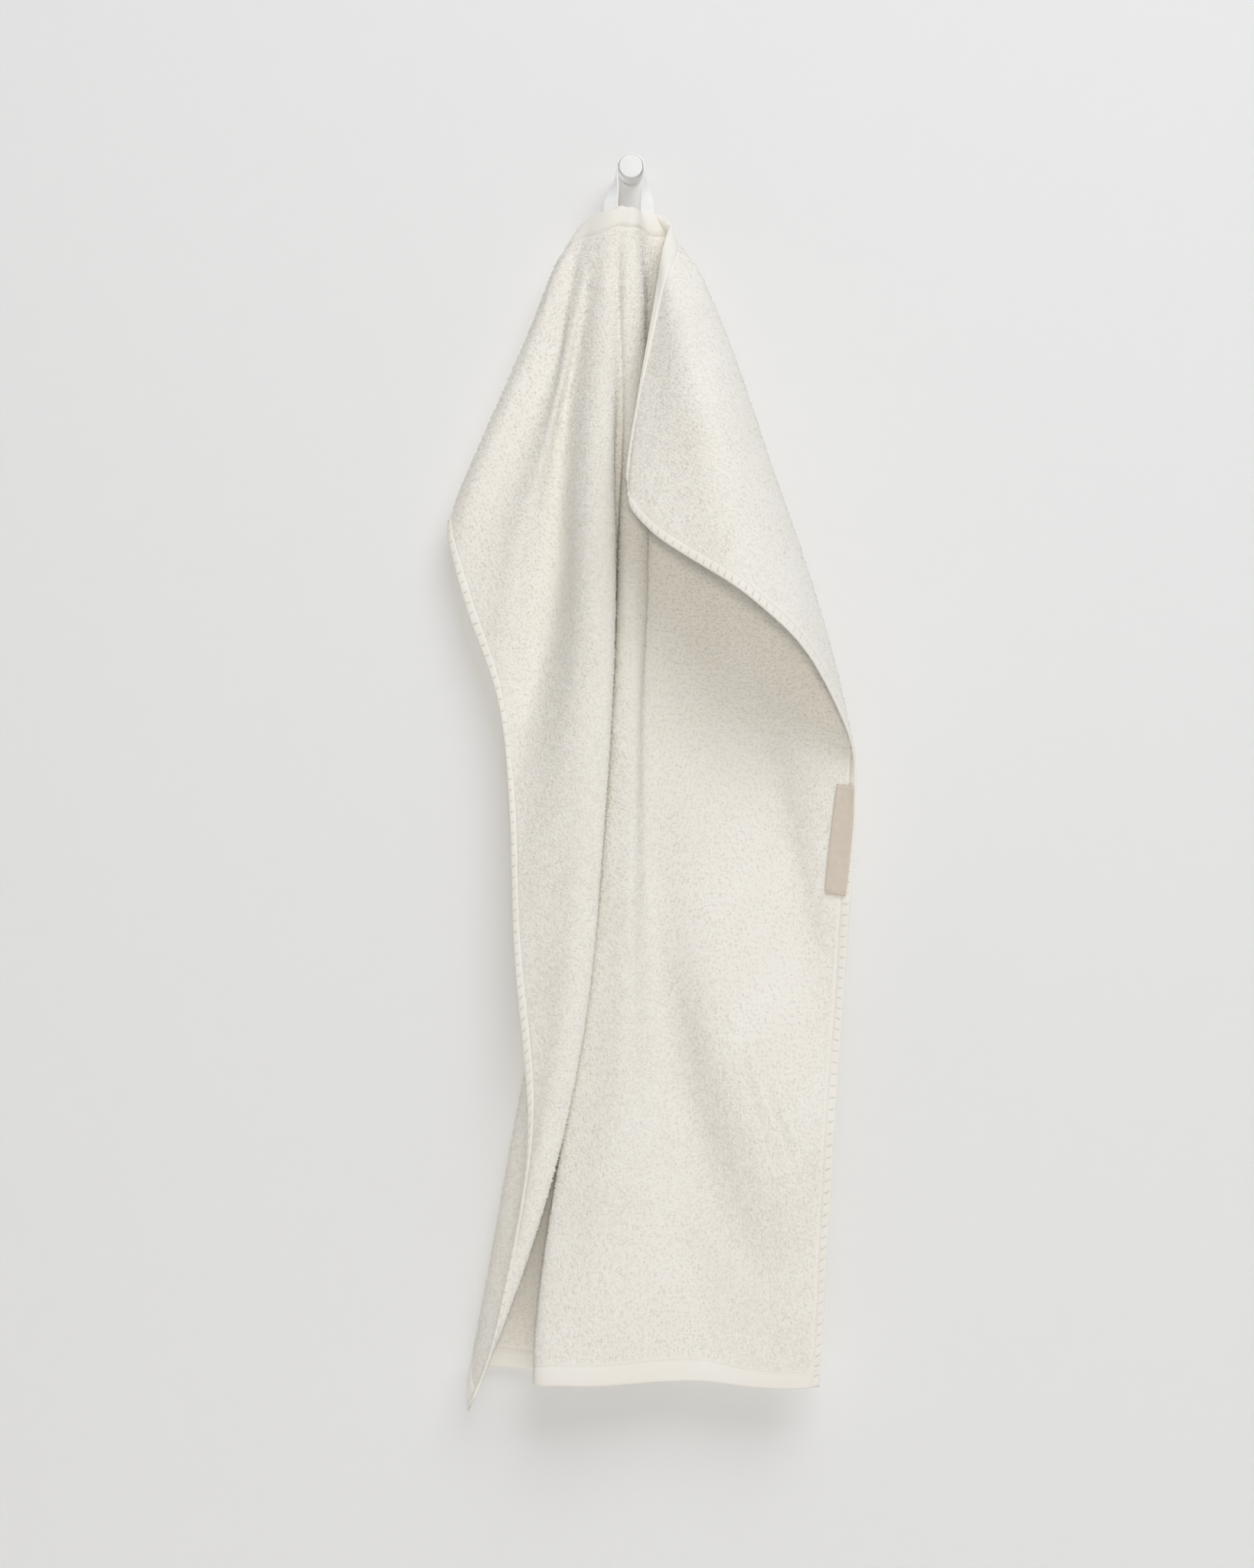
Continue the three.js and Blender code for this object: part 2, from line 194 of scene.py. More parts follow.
# A row per fold or edge: where it runs on the flat towel (from, to), and points on it as it hangs,
# each (right of the peg, out from the wall, height above the peg).
FOLDS = {
    "hem behind left": ((-250, 0), (-70, 0), [(-29, 10, -227), (-36, 9, -134), (-43, 12, -53)]),
    "hem top left": ((-56, 0), (0, 0), [
        (-40, 21, -47), (-32, 30, -40), (-22, 37, -36), (-12, 41, -34), (-3, 41, -33)]),
    "hem top right": ((14, 0), (56, 0), [(4, 38, -34), (9, 27, -35), (20, 24, -35), (30, 29, -43)]),
    "hem right": ((68, 0), (250, 0), [(26, 42, -56), (11, 65, -146), (-5, 84, -241)]),
    "flap edge": ((250, 44), (250, 395), [
        (-1, 92, -265), (18, 103, -287), (49, 112, -308), (77, 116, -326), (105, 111, -348),
        (132, 94, -375), (157, 64, -421), (170, 42, -461)]),
    "right edge": ((250, 437), (250, 900), [
        (173, 37, -499), (167, 31, -570), (161, 32, -641), (155, 40, -713), (151, 45, -784),
        (146, 40, -855), (144, 46, -926)]),
    "bottom right": ((200, 900), (20, 900), [(101, 46, -923), (18, 44, -922), (-64, 56, -923)]),
    "bottom pleat": ((0, 900), (-80, 900), [(-76, 46, -923), (-50, 26, -919), (-28, 16, -918)]),
    "bottom back": ((-100, 900), (-190, 900), [(-43, 9, -919), (-80, 8, -918), (-120, 13, -914)]),
    "bottom tail": ((-220, 900), (-250, 900), [(-124, 26, -925), (-128, 43, -944)]),
    "left edge": ((-250, 160), (-250, 826), [
        (-140, 20, -269), (-126, 28, -335), (-101, 30, -402), (-93, 33, -471), (-91, 36, -540),
        (-88, 38, -609), (-81, 39, -678), (-77, 40, -745), (-88, 41, -815), (-106, 43, -880)]),
    "left edge behind": ((-250, 30), (-250, 130), [(-48, 9, -243), (-85, 9, -262), (-124, 12, -270)]),
    "outer left": ((-84, 22), (-232, 145), [(-55, 18, -69), (-81, 18, -133), (-132, 19, -249)]),
    "left roll": ((-74, 38), (-222, 160), [(-53, 31, -80), (-74, 33, -138), (-126, 31, -260)]),
    "left hollow": ((-62, 48), (-215, 172), [(-44, 29, -89), (-59, 28, -143), (-115, 28, -264)]),
    "left ridge": ((-54, 62), (-212, 260), [(-38, 37, -104), (-68, 37, -235), (-94, 33, -339)]),
    "left valley": ((-46, 76), (-214, 325), [
        (-33, 35, -116), (-44, 30, -165), (-52, 26, -234), (-58, 21, -327), (-80, 23, -414)]),
    "left lip": ((-42, 90), (-214, 390), [
        (-26, 44, -132), (-34, 46, -201), (-40, 47, -282), (-47, 45, -368), (-67, 40, -466)]),
    "front fold": ((-26, 60), (-240, 860), [
        (-19, 45, -93), (-13, 49, -227), (-13, 48, -363), (-20, 47, -501), (-32, 45, -639),
        (-58, 42, -775), (-104, 37, -911)]),
    "front crest": ((-152, 480), (-236, 790), [(-31, 51, -500), (-46, 50, -645), (-86, 44, -836)]),
    "groove": ((-10, 60), (-12, 190), [(-10, 41, -90), (-6, 42, -158), (-5, 37, -222)]),
    "behind front fold": ((-52, 220), (-222, 880), [
        (-17, 41, -252), (-25, 39, -472), (-50, 37, -687), (-121, 28, -923)]),
    "back left fold": ((-48, 320), (-192, 885), [
        (-28, 29, -345), (-49, 25, -532), (-88, 17, -719), (-120, 14, -906)]),
    "back panel": ((-32, 320), (-135, 890), [
        (-17, 17, -345), (-31, 11, -534), (-51, 8, -723), (-73, 8, -913)]),
    "pleat fold": ((-15, 320), (-78, 885), [
        (0, 16, -345), (-4, 13, -534), (-12, 12, -723), (-27, 16, -914)]),
    "pleat return": ((-5, 320), (-38, 885), [
        (-8, 26, -345), (-15, 23, -534), (-26, 21, -723), (-50, 27, -914)]),
    "ridge flank": ((6, 230), (2, 880), [
        (-7, 40, -263), (-16, 37, -421), (-30, 35, -581), (-54, 35, -742), (-77, 45, -904)]),
    "ridge side": ((18, 440), (34, 860), [
        (-9, 41, -470), (-19, 42, -610), (-36, 43, -750), (-56, 50, -880)]),
    "ridge": ((3, 60), (66, 885), [
        (-3, 45, -91), (2, 44, -276), (-1, 45, -487), (-10, 50, -697), (-28, 55, -908)]),
    "roll right": ((17, 60), (44, 330), [(9, 39, -91), (12, 37, -220), (12, 35, -345)]),
    "valley": ((30, 60), (140, 885), [
        (14, 28, -86), (14, 29, -273), (14, 31, -478), (24, 35, -681), (61, 42, -906)]),
    "right panel": ((42, 80), (100, 380), [(29, 23, -126), (39, 22, -279), (44, 26, -431)]),
    "right crown": ((112, 440), (215, 680), [
        (49, 32, -490), (59, 43, -594), (80, 49, -680), (122, 50, -732)]),
    "right hollow": ((90, 220), (216, 600), [
        (52, 17, -249), (78, 19, -384), (108, 25, -501), (130, 30, -629)]),
    "right foot": ((150, 700), (210, 860), [(61, 37, -762), (89, 37, -831), (110, 42, -894)]),
    "label band": ((230, 400), (226, 520), [(151, 38, -468), (147, 34, -520), (143, 31, -575)]),
    "outer right": ((60, 38), (238, 362), [
        (51, 26, -76), (79, 29, -146), (108, 31, -234), (138, 33, -321), (167, 38, -423)]),
    "flap crown": ((86, 48), (214, 204), [(47, 62, -111), (66, 92, -190), (90, 108, -296)]),
}


def fan_place(cloth):
    """Angle and reach of places on the flat towel, seen from the fan's apex."""
    across, down = cloth[:, 0], cloth[:, 1] + FAN_APEX
    angle = np.arctan2(across, down) / FAN_ANGLE
    reach = FAN_REACH * np.log(np.hypot(across, down) / FAN_APEX)
    return np.stack([angle, reach], 1)


def plate_kernel(a, b):
    """Bending energy of a thin plate between two sets of places."""
    squared = ((a[:, None, :] - b[None, :, :]) ** 2).sum(2)
    return squared * np.log(np.maximum(squared, TINY))


def fold_curve(hang, shares):
    """A smooth curve through a row's hang points, read at even shares."""
    knots = np.array(hang, float) * (1, -1, 1)
    knots = np.vstack([2 * knots[0] - knots[1], knots, 2 * knots[-1] - knots[-2]])
    spot = shares * (len(hang) - 1)
    first = np.minimum(spot.astype(int), len(hang) - 2)
    t = (spot - first)[:, None]
    a, b, c, d = (knots[first + k] for k in range(4))
    return 0.5 * (2 * b + (c - a) * t + (2 * a - 5 * b + 4 * c - d) * t**2 + (3 * b - a - 3 * c + d) * t**3)


def fit_drape():
    """Guide places and plate weights of the hanging cloth."""
    cloth, points = [], []
    for start, end, hang in FOLDS.values():
        steps = max(len(hang) - 1, math.ceil(math.dist(start, end) / FOLD_STEP))
        shares = np.linspace(0, 1, steps + 1)
        cloth.append(np.array(start) + np.outer(shares, np.subtract(end, start)))
        points.append(fold_curve(hang, shares))
    places = fan_place(np.vstack(cloth))
    points = np.vstack(points)
    count = len(places)
    affine = np.hstack([np.ones((count, 1)), places])
    matrix = np.zeros((count + 3, count + 3))
    matrix[:count, :count] = plate_kernel(places, places) + FOLD_EASE * np.eye(count)
    matrix[:count, count:] = affine
    matrix[count:, :count] = affine.T
    return places, np.linalg.solve(matrix, np.vstack([points, np.zeros((3, 3))]))


GUIDES, WEIGHTS = fit_drape()


def drape(cloth):
    """Where places on the flat towel hang."""
    cloth = np.asarray(cloth, float)
    out = []
    for part in np.array_split(cloth, max(1, len(cloth) // DRAPE_BATCH)):
        place = fan_place(part)
        terms = np.hstack([plate_kernel(place, GUIDES), np.ones((len(part), 1)), place])
        out.append(terms @ WEIGHTS)
    return np.vstack(out)


def unit(vectors):
    """The same directions, one long."""
    return vectors / np.linalg.norm(vectors, axis=-1, keepdims=True)


def drape_frame(cloth):
    """Middle of the cloth, unit direction across, unit direction out of the front face."""
    cloth = np.asarray(cloth, float)
    above = cloth - (0, TANGENT_REACH)
    above[:, 1] = np.maximum(above[:, 1], 0)
    right = drape(cloth + (TANGENT_REACH, 0)) - drape(cloth - (TANGENT_REACH, 0))
    fall = drape(cloth + (0, TANGENT_REACH)) - drape(above)
    return drape(cloth), unit(right), unit(np.cross(fall, right))


def smooth_share(value):
    """A soft step from 0 to 1."""
    t = np.clip(value, 0, 1)
    return t * t * (3 - 2 * t)


def hem_distance(cloth):
    """How far places lie inside the towel's rim, and inside the seams of its hems."""
    side = TOWEL_WIDTH / 2 - np.abs(cloth[:, 0])
    top, end = cloth[:, 1], TOWEL_LENGTH - cloth[:, 1]
    rim = np.minimum(side, np.minimum(top, end))
    return rim, np.minimum(side - SIDE_HEM, np.minimum(top - TOP_HEM, end - END_HEM))


def ground_half(cloth):
    """Half the thickness of the ground: full on the hems, pinched at their seams, round at the rim."""
    rim, inside = hem_distance(cloth)
    on_top = smooth_share((TOP_HEM + HEM_STEP - cloth[:, 1]) / HEM_STEP)
    hem = HEM_HALF + (TOP_HEM_HALF - HEM_HALF) * on_top
    half = hem + (GROUND_HALF - hem) * smooth_share(inside / HEM_STEP)
    half -= SEAM_DIP * hem * np.exp(-((inside / SEAM_SPREAD) ** 2))
    rise = np.clip(rim / HEM_ROUND, 0, 1)
    return half * np.sqrt(1 - (1 - rise) ** 2)


def ray_angles():
    """Angles of the sheet's rays, with one on each corner of the towel."""
    foot = math.atan2(TOWEL_WIDTH / 2, TOWEL_LENGTH + FAN_APEX)
    top = math.atan2(TOWEL_WIDTH / 2, FAN_APEX)
    parts = [np.radians(np.linspace(start, end, cells, endpoint=False)) for start, end, cells in RAYS]
    angles = np.append(np.concatenate(parts), top)
    angles[0] = -top
    for corner in (-foot, foot):
        angles[np.argmin(np.abs(angles - corner))] = corner
    return angles


def ray_end(angle, side, end):
    """Where a ray leaves a towel that is smaller by a side and an end margin."""
    to_end = (TOWEL_LENGTH + FAN_APEX - end) / math.cos(angle)
    if angle == 0:
        return to_end
    return min((TOWEL_WIDTH / 2 - side) / abs(math.sin(angle)), to_end)


def ray_places(angle):
    """Places along one ray, close together on the hems."""
    start, finish = FAN_APEX / math.cos(angle), ray_end(angle, 0, 0)
    hem_in, hem_out = TOP_HEM / math.cos(angle), finish - ray_end(angle, SIDE_HEM, END_HEM)
    fit = min(1, RAY_HEMS * (finish - start) / (hem_in + hem_out + 2 * HEM_STEP))
    shares = np.array(HEM_SHARES)
    first = start + (hem_in + HEM_STEP) * fit
    last = finish - (hem_out + HEM_STEP) * fit
    middle = first + (last - first) * np.linspace(0, 1, RAY_CELLS + 1) ** RAY_GATHER
    reaches = np.concatenate([start + shares * hem_in * fit, middle, (finish - shares * hem_out * fit)[::-1]])
    return np.stack([reaches * math.sin(angle), reaches * math.cos(angle) - FAN_APEX], 1)


def ray_grid():
    """Places of the sheet's grid, each once, the grid of their numbers, and which are on the rim."""
    rays = np.stack([ray_places(angle) for angle in ray_angles()], 1)
    border = np.zeros(rays.shape[:2], bool)
    border[[0, -1]] = True
    border[:, [0, -1]] = True
    flat = rays.reshape(-1, 2)
    _, keep, index = np.unique(np.round(flat, 2), axis=0, return_index=True, return_inverse=True)
    index = index.reshape(border.shape)
    on_rim = np.zeros(len(keep), bool)
    on_rim[index[border]] = True
    return flat[keep], index, on_rim


def mesh_object(name, points, faces, cloth, shade, material):
    """A smooth mesh from points in millimetres, with cloth coordinates and a brightness for each point."""
    faces = np.asarray(faces, np.int32)
    mesh = bpy.data.meshes.new(name)
    mesh.vertices.add(len(points))
    mesh.vertices.foreach_set("co", np.ravel(np.asarray(points) * MM).astype(np.float32))
    mesh.loops.add(faces.size)
    mesh.loops.foreach_set("vertex_index", faces.ravel())
    mesh.polygons.add(len(faces))
    mesh.polygons.foreach_set("loop_start", np.arange(0, faces.size, faces.shape[1], dtype=np.int32))
    mesh.polygons.foreach_set("use_smooth", np.ones(len(faces), bool))
    mesh.update(calc_edges=True)
    uv = mesh.uv_layers.new(name="cloth")
    uv.data.foreach_set("uv", (np.asarray(cloth)[faces.ravel()] * MM).ravel().astype(np.float32))
    tone = mesh.attributes.new("shade", "FLOAT", "POINT")
    tone.data.foreach_set("value", np.broadcast_to(shade, len(points)).astype(np.float32))
    mesh.materials.append(material)
    obj = bpy.data.objects.new(name, mesh)
    bpy.context.scene.collection.objects.link(obj)
    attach(obj, "root")
    return obj


def towel_ground(material):
    """The woven sheet on its folds, closed at its rims."""
    cloth, index, on_rim = ray_grid()
    half = np.where(on_rim, 0, ground_half(cloth))[:, None]
    middle, _, out = drape_frame(cloth)
    points = np.vstack([middle + out * half, (middle - out * half)[~on_rim]])
    a, b, c, d = index[:-1, :-1], index[1:, :-1], index[1:, 1:], index[:-1, 1:]
    front = np.vstack([np.stack(corners, -1).reshape(-1, 3) for corners in ((a, b, c), (a, c, d))])
    proper = (front[:, 0] != front[:, 1]) & (front[:, 1] != front[:, 2]) & (front[:, 2] != front[:, 0])
    front = front[proper]
    behind = np.where(on_rim, np.arange(len(cloth)), len(cloth) + np.cumsum(~on_rim) - 1)
    faces = np.vstack([front, behind[front][:, ::-1]])
    cloth = np.vstack([cloth, cloth[~on_rim]])
    return mesh_object("towel_ground", points, faces, cloth, 1.0, material)


def pile_frames(rng):
    """Loop places on the flat towel inside the hems, and the cloth's frame at each."""
    edge = TOWEL_WIDTH / 2 - SIDE_HEM - PILE_INSET
    across = np.arange(-edge, edge, PILE_PITCH)
    down = np.arange(TOP_HEM + PILE_INSET, TOWEL_LENGTH - END_HEM - PILE_INSET, PILE_PITCH)
    cloth = np.stack(np.meshgrid(across, down), -1).reshape(-1, 2)
    cloth += rng.uniform(-PILE_JITTER, PILE_JITTER, cloth.shape)
    return cloth, drape_frame(cloth)


def pile_rise(cloth):
    """Share of the pile's height: uneven in soft clumps, shorter beside the seams."""
    across, down = cloth[:, 0], cloth[:, 1]
    sway_across = CLUMP_BEND * np.sin(CLUMP_DRIFT[1] * down)
    sway_down = CLUMP_BEND * np.sin(CLUMP_DRIFT[0] * across)
    clump = np.sin(CLUMP_WAVE[0] * across + sway_across) * np.sin(CLUMP_WAVE[1] * down + sway_down)
    _, inside = hem_distance(cloth)
    return (1 + CLUMP * clump) * (PILE_SEAM + (1 - PILE_SEAM) * smooth_share(inside / PILE_SEAM_REACH))


def pile(name, cloth, frames, side, rng, material):
    """Small leaning loops of the pile on one face: four corners at the foot and a tip each."""
    middle, right, out = frames
    out = out * side
    fall = np.cross(right, out)
    count = len(cloth)
    turn = rng.uniform(0, math.pi / 2, count)
    wide = PILE_WIDTH * rng.uniform(*PILE_WIDTHS, count)
    tall = rng.uniform(PILE_LOW, PILE_HIGH, count) * pile_rise(cloth)
    lean = rng.uniform(-PILE_LEAN, PILE_LEAN, (count, 2))
    corners = []
    for quarter in range(4):
        angle = turn + quarter * math.pi / 2
        foot = right * (wide * np.cos(angle))[:, None] + fall * (wide * np.sin(angle))[:, None]
        corners.append(middle + foot + out * PILE_FOOT)
    corners.append(middle + right * lean[:, :1] + fall * lean[:, 1:] + out * tall[:, None])
    points = np.stack(corners, 1).reshape(-1, 3)
    start = 5 * np.arange(count)[:, None]
    faces = np.concatenate([start + np.array([q, (q + 1) % 4, 4]) for q in range(4)])
    if side > 0:
        faces = faces[:, ::-1]
    shade = np.repeat(rng.uniform(*PILE_SHADES, count), 5)
    return mesh_object(name, points, faces, np.repeat(cloth, 5, 0), shade, material)


def seam_stitches():
    """Start and end of each stitch along the hems' seams, on the flat towel."""
    starts, ends = [], []
    edge = TOWEL_WIDTH / 2
    down = np.arange(STITCH_MARGIN, TOWEL_LENGTH - STITCH_MARGIN, STITCH_PITCH)
    across = np.arange(STITCH_MARGIN - edge, edge - STITCH_MARGIN, STITCH_PITCH)
    for sign in (-1, 1):
        seam = np.full(len(down), sign * (edge - SIDE_HEM))
        starts.append(np.stack([seam, down], 1))
        ends.append(np.stack([seam, down + STITCH_LENGTH], 1))
    for hem in (TOP_HEM, TOWEL_LENGTH - END_HEM):
        seam = np.full(len(across), hem)
        starts.append(np.stack([across, seam], 1))
        ends.append(np.stack([across + STITCH_LENGTH, seam], 1))
    return np.vstack(starts), np.vstack(ends)


def cross_stitches():
    """Start and end of each short stitch across the side hems, on the flat towel."""
    starts, ends = [], []
    down = np.arange(CROSS_MARGIN, TOWEL_LENGTH - CROSS_MARGIN, CROSS_PITCH)
    for sign in (-1, 1):
        outer = np.full(len(down), sign * (TOWEL_WIDTH / 2 - CROSS_FROM))
        inner = np.full(len(down), sign * (TOWEL_WIDTH / 2 - CROSS_TO))
        starts.append(np.stack([outer, down], 1))
        ends.append(np.stack([inner, down + CROSS_SLANT], 1))
    return np.vstack(starts), np.vstack(ends)


def spindle_points(starts, ends, radius, lift, side):
    """Points and places of each stitch on one face: a tip, two rings of four, and a tip."""
    places, spots, outs = [], [], []
    for share, height in SPINDLE:
        place = starts + (ends - starts) * share
        middle, _, out = drape_frame(place)
        places.append(place)
        spots.append(middle + out * side * (lift(place) + radius * height)[:, None])
        outs.append(out * side)
    run = unit(spots[3] - spots[0])
    points, cloth = [spots[0]], [places[0]]
    for ring in (1, 2):
        beside = unit(np.cross(run, outs[ring]))
        for quarter in range(4):
            angle = quarter * math.pi / 2
            points.append(spots[ring] + radius * (beside * math.cos(angle) + outs[ring] * math.sin(angle)))
            cloth.append(places[ring])
    points.append(spots[3])
    cloth.append(places[3])
    return np.stack(points, 1).reshape(-1, 3), np.stack(cloth, 1).reshape(-1, 2)


def thread(name, starts, ends, radius, lift, material, slot, faces_of_cloth=(1, -1)):
    """Stitches as short thread spindles on the cloth."""
    sides = [spindle_points(starts, ends, radius, lift, side) for side in faces_of_cloth]
    points = np.vstack([spots for spots, _ in sides])
    cloth = np.vstack([places for _, places in sides])
    pattern = []
    for q in range(4):
        n = (q + 1) % 4
        pattern += [(0, 1 + n, 1 + q), (1 + q, 5 + n, 5 + q), (1 + q, 1 + n, 5 + n), (5 + q, 5 + n, 9)]
    first = 10 * np.arange(len(points) // 10)[:, None, None]
    faces = (first + np.array(pattern)[None]).reshape(-1, 3)
    return mesh_object(name, points, faces, cloth, 1.0, material)


def ribbon(name, middle, wide, thick, lengths, material):
    """A closed flat tape with rounded edges through stations."""
    half = np.sin(np.linspace(-math.pi / 2, math.pi / 2, TAPE_COLUMNS))
    across = np.concatenate([half, half[-2:0:-1]])
    edge = np.clip((np.abs(across) - 1 + TAPE_ROUND) / TAPE_ROUND, 0, 1)
    level = np.where(np.arange(len(across)) < len(half), 1, -1) * np.sqrt(1 - edge**2)
    ring = len(across)
    points = middle[:, None] + wide[:, None] * across[None, :, None] + thick[:, None] * level[None, :, None]
    cloth = np.stack(np.broadcast_arrays(across[None] * TAPE_WIDTH / 2, lengths[:, None]), -1)
    faces = []
    for i in range(len(middle) - 1):
        for k in range(ring):
            a, b = i * ring + k, i * ring + (k + 1) % ring
            faces += [(a, b, b + ring), (a, b + ring, a + ring)]
    last = (len(middle) - 1) * ring
    for k in range(1, ring - 1):
        faces += [(0, k + 1, k), (last, last + k, last + k + 1)]
    return mesh_object(name, points.reshape(-1, 3), faces, cloth.reshape(-1, 2), 1.0, material)


def loop_leg(span, side):
    """Stations of one leg, from behind the hem to the side of the peg: middle, direction across."""
    hip = np.array([side * LOOP_RADIUS, -TAPE_OUT, 0])
    ends = drape([(across, 0) for across in span])
    foot = ends.mean(0) + (0, 0, TAPE_LIFT)
    flat = unit(ends[1] - ends[0])
    stations = []
    for down in np.linspace(TAPE_TUCK, TAPE_RISE, TUCK_STATIONS):
        spots, _, outs = drape_frame([(across, down) for across in span])
        middle = spots.mean(0) - outs.mean(0) * (TOP_HEM_HALF + TAPE_BEHIND)
        stations.append((middle, unit(spots[1] - spots[0])))
    for share in np.linspace(LEG_START, 1, LEG_STATIONS, endpoint=False):
        ease = smooth_share(share)
        stations.append((foot + (hip - foot) * share, unit(flat * (1 - ease) + INTO_WALL * ease)))
    return stations


def loop_arch():
    """Stations of the half round over the peg."""
    stations = []
    for angle in np.linspace(math.pi, 0, ARCH_STATIONS):
        middle = np.array([LOOP_RADIUS * math.cos(angle), -TAPE_OUT, LOOP_RADIUS * math.sin(angle)])
        stations.append((middle, INTO_WALL))
    return stations


def loop_tape(material):
    """The tape from behind the hem over the peg and back, and its length."""
    stations = loop_leg(TAPE_LEFT, -1) + loop_arch() + loop_leg(TAPE_RIGHT, 1)[::-1]
    middle = np.array([m for m, _ in stations])
    along = unit(np.gradient(middle, axis=0))
    thick = unit(np.cross(along, np.array([w for _, w in stations])))
    wide = unit(np.cross(thick, along))
    lengths = np.append(0, np.cumsum(np.linalg.norm(np.diff(middle, axis=0), axis=1)))
    wide *= TAPE_WIDTH / 2
    thick *= TAPE_THICKNESS / 2
    return ribbon("loop_tape", middle, wide, thick, lengths, material), float(lengths[-1])


def label_place(side, share):
    """A place on the label: side and share from -0.5 to 0.5."""
    return LABEL_ACROSS - 2 * LABEL_LEAN * share + LABEL_WIDTH * side, LABEL_DOWN + LABEL_LENGTH * share


def label_patch(material):
    """The bare label, with soft rims."""
    sides = 0.5 * np.sin(np.linspace(-math.pi / 2, math.pi / 2, LABEL_COLUMNS))
    shares = np.linspace(-0.5, 0.5, LABEL_ROWS)
    cloth = np.array([label_place(side, share) for share in shares for side in sides])
    middle, _, out = drape_frame(cloth)
    to_side = 0.5 - np.abs(np.tile(sides, LABEL_ROWS))
    to_end = (0.5 - np.abs(np.repeat(shares, LABEL_COLUMNS))) * LABEL_LENGTH / LABEL_WIDTH
    full = smooth_share(np.minimum(to_side, to_end) / LABEL_RIM)
    top = LABEL_LIFT + LABEL_THICKNESS * (LABEL_RIM_THICKNESS + (1 - LABEL_RIM_THICKNESS) * full)
    points = np.vstack([middle + out * top[:, None], middle + out * LABEL_LIFT])
    behind = len(cloth)
    index = np.arange(behind).reshape(LABEL_ROWS, LABEL_COLUMNS)
    quads = np.stack([index[:-1, :-1], index[1:, :-1], index[1:, 1:], index[:-1, 1:]], -1).reshape(-1, 4)
    rim = np.concatenate([index[0, :-1], index[:-1, -1], index[-1, :0:-1], index[:0:-1, 0]])
    after = np.roll(rim, -1)
    skirt = np.stack([rim, after, after + behind, rim + behind], 1)
    faces = np.vstack([quads, quads[:, ::-1] + behind, skirt])
    return mesh_object("label_patch", points, faces, np.vstack([cloth, cloth]), 1.0, material)


def label_top(cloth):
    """How far the label's face lies in front of the cloth's middle."""
    return np.full(len(cloth), LABEL_LIFT + LABEL_THICKNESS)


def label_stitches(material):
    """A row of stitches at each short end of the label."""
    starts, ends = [], []
    for share in (-LABEL_SEAM, LABEL_SEAM):
        for step in range(LABEL_STITCHES):
            side = LABEL_STITCH_FROM + step * LABEL_STITCH_PITCH
            starts.append(label_place(side, share))
            ends.append(label_place(side + LABEL_STITCH_LENGTH, share))
    starts, ends = np.array(starts), np.array(ends)
    return thread("label_stitches", starts, ends, STITCH_RADIUS, label_top, material, "label_tape", (1,))


def peg_profile():
    """Radius and reach out from the wall, from the middle of the peg's front to that of its back."""
    profile = [(PEG_RADIUS * share, PEG_LENGTH + swell) for share, swell in PEG_CROWN]
    for angle in np.linspace(0, math.pi / 2, PEG_EDGE_STEPS + 1):
        radius = PEG_RADIUS - PEG_EDGE + PEG_EDGE * math.sin(angle)
        profile.append((radius, PEG_LENGTH - PEG_EDGE + PEG_EDGE * math.cos(angle)))
    return profile + [
        (PEG_RADIUS, PEG_SHOULDER),
        (PEG_RADIUS - PEG_EASE_IN, PEG_SHOULDER - PEG_EASE_ALONG),
        (PEG_NECK, PEG_SHOULDER - PEG_NECK_STEP),
        (PEG_NECK, PEG_FOOT + PEG_NECK_STEP),
        (PEG_FOOT_RADIUS - PEG_EASE_IN, PEG_FOOT + PEG_EASE_ALONG),
        (PEG_FOOT_RADIUS, PEG_FOOT),
        (PEG_FOOT_RADIUS, 0),
        (0, 0),
    ]


def peg(material):
    """The plain round peg, turned about its axis."""
    profile = peg_profile()
    points, faces = [], []
    for radius, out in profile:
        for angle in np.linspace(0, 2 * math.pi, PEG_SIDES, endpoint=False):
            points.append((radius * math.cos(angle), -out, radius * math.sin(angle)))
    for i in range(len(profile) - 1):
        for k in range(PEG_SIDES):
            a, b = i * PEG_SIDES + k, i * PEG_SIDES + (k + 1) % PEG_SIDES
            faces.append((a, b, b + PEG_SIDES, a + PEG_SIDES))
    cloth = [(x + z, out) for x, out, z in points]
    return mesh_object("peg", points, faces, cloth, 1.0, material)


def shader(name, color, roughness):
    """A new material with its nodes and main shader."""
    material = bpy.data.materials.new(name)
    material.use_nodes = True
    tree = material.node_tree
    main = tree.nodes["Principled BSDF"]
    main.inputs["Base Color"].default_value = (*color, 1)
    main.inputs["Roughness"].default_value = roughness
    main.inputs["Specular IOR Level"].default_value = 0.25
    return material, tree, main


def cloth_uv(tree):
    """Coordinates on the flat cloth, in metres."""
    uv = tree.nodes.new("ShaderNodeUVMap")
    uv.uv_map = "cloth"
    return uv.outputs["UV"]


